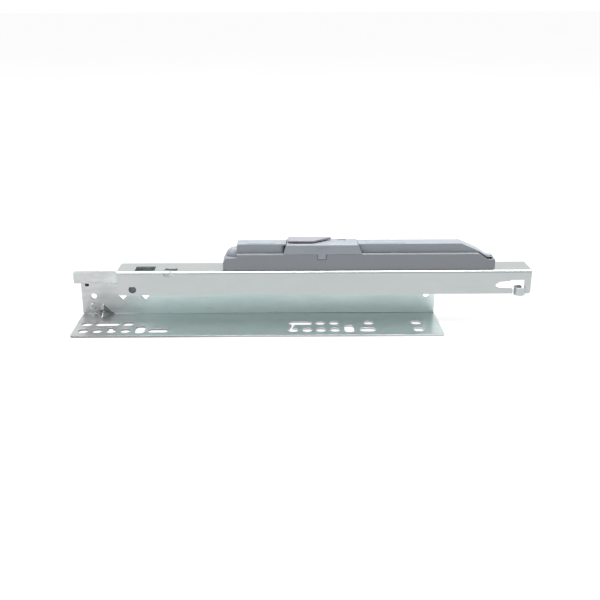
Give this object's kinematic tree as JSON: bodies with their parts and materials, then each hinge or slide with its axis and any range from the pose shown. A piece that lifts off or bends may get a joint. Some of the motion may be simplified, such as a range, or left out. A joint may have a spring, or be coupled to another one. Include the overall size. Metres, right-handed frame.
{
  "type": "drawer slide",
  "caption": "Concealed undermount cabinet drawer slide with a bent steel cabinet rail, a channel drawer rail on a roller cage and a grey soft-close unit, shown closed.",
  "frame": {"origin": "middle of the cabinet flange's mounting face", "axes": "+X from the drawer front to the cabinet's back, +Y from the flange's free edge to the carrying plate, +Z away from the cabinet side"},
  "size_m": [0.3538, 0.0512, 0.0661],
  "materials": {
    "zinc_rail": "blue-white zinc plating, faint rolling grain",
    "zinc_channel": "blue-white zinc plating, satin",
    "grey_plastic": "fine-textured moulded grey plastic",
    "pale_plastic": "smooth moulded pale grey plastic",
    "white_plastic": "smooth natural acetal",
    "dark_plastic": "fine-textured dark grey plastic",
    "rubber": "matt black rubber",
    "bright_steel": "turned bright steel",
    "spring_steel": "drawn spring wire",
    "aluminium": "drawn tube, satin"
  },
  "bodies": {
    "cabinet_side": {"cabinet_rail": "zinc_rail", "trigger_stud": "bright_steel", "front_buffer": "rubber", "rear_buffer": "rubber"},
    "carriage": {"roller_cage": "grey_plastic", "load_axle_1": "bright_steel", "load_axle_2": "bright_steel", "load_axle_3": "bright_steel", "load_axle_4": "bright_steel", "keeper_axle_1": "bright_steel", "keeper_axle_2": "bright_steel"},
    "load_wheel_1": {"load_roller_1": "white_plastic"},
    "load_wheel_2": {"load_roller_2": "white_plastic"},
    "load_wheel_3": {"load_roller_3": "white_plastic"},
    "load_wheel_4": {"load_roller_4": "white_plastic"},
    "keeper_wheel_1": {"keeper_roller_1": "white_plastic"},
    "keeper_wheel_2": {"keeper_roller_2": "white_plastic"},
    "drawer_side": {"drawer_rail": "zinc_channel", "lock_pad": "dark_plastic", "housing_base": "grey_plastic", "front_cover": "grey_plastic", "rear_cover": "grey_plastic", "centre_clip": "grey_plastic", "nose_cap": "grey_plastic", "housing_rivet_front": "bright_steel", "housing_rivet_rear": "bright_steel", "spring_bracket": "white_plastic", "front_spring_pin": "bright_steel", "tension_spring_1": "spring_steel", "tension_spring_2": "spring_steel", "damper_cylinder": "aluminium", "damper_gland": "white_plastic"},
    "adjuster": {"adjuster_slider": "pale_plastic"},
    "catch": {"catch_block": "white_plastic", "rear_spring_pin": "bright_steel", "catch_pin": "bright_steel"},
    "plunger": {"damper_rod": "bright_steel", "damper_piston": "white_plastic"},
    "fork": {"catch_fork": "pale_plastic"}
  },
  "joints": [
    {"name": "drawer_slide", "type": "slide", "parent": "cabinet_side", "child": "drawer_side", "axis": [-1, 0, 0], "range_m": [0, 0.24]},
    {"name": "carriage_slide", "type": "slide", "parent": "cabinet_side", "child": "carriage", "axis": [-1, 0, 0], "range_m": [0, 0.12]},
    {"name": "load_roller_1_spin", "type": "hinge", "parent": "carriage", "child": "load_wheel_1", "pos_m": [-0.0055, 0.0073, 0.0373], "axis": [0, 0, 1], "continuous": true},
    {"name": "load_roller_2_spin", "type": "hinge", "parent": "carriage", "child": "load_wheel_2", "pos_m": [0.006, 0.0073, 0.0373], "axis": [0, 0, 1], "continuous": true},
    {"name": "load_roller_3_spin", "type": "hinge", "parent": "carriage", "child": "load_wheel_3", "pos_m": [0.066, 0.0073, 0.0373], "axis": [0, 0, 1], "continuous": true},
    {"name": "load_roller_4_spin", "type": "hinge", "parent": "carriage", "child": "load_wheel_4", "pos_m": [0.0775, 0.0073, 0.0373], "axis": [0, 0, 1], "continuous": true},
    {"name": "keeper_roller_1_spin", "type": "hinge", "parent": "carriage", "child": "keeper_wheel_1", "pos_m": [-0.003, 0.01925, 0.036], "axis": [0, 0, 1], "continuous": true},
    {"name": "keeper_roller_2_spin", "type": "hinge", "parent": "carriage", "child": "keeper_wheel_2", "pos_m": [0.075, 0.01925, 0.036], "axis": [0, 0, 1], "continuous": true},
    {"name": "catch_slide", "type": "slide", "parent": "drawer_side", "child": "catch", "axis": [1, 0, 0], "range_m": [0, 0.042]},
    {"name": "plunger_slide", "type": "slide", "parent": "drawer_side", "child": "plunger", "axis": [1, 0, 0], "range_m": [0, 0.042]},
    {"name": "fork_tilt", "type": "hinge", "parent": "catch", "child": "fork", "pos_m": [0.1145, 0.01655, 0.0482], "axis": [0, -1, 0], "range_deg": [0, 8]},
    {"name": "adjuster_slide", "type": "slide", "parent": "drawer_side", "child": "adjuster", "axis": [1, 0, 0], "range_m": [0, 0.005]}
  ],
  "couplings": [
    {"joint": "carriage_slide", "follows": "drawer_slide", "ratio": 0.5},
    {"joint": "load_roller_1_spin", "follows": "drawer_slide", "rad_per_m": -126.58},
    {"joint": "load_roller_2_spin", "follows": "drawer_slide", "rad_per_m": -126.58},
    {"joint": "load_roller_3_spin", "follows": "drawer_slide", "rad_per_m": -126.58},
    {"joint": "load_roller_4_spin", "follows": "drawer_slide", "rad_per_m": -126.58},
    {"joint": "keeper_roller_1_spin", "follows": "drawer_slide", "rad_per_m": 80.65},
    {"joint": "keeper_roller_2_spin", "follows": "drawer_slide", "rad_per_m": 80.65},
    {"joint": "plunger_slide", "follows": "catch_slide", "ratio": 1}
  ]
}
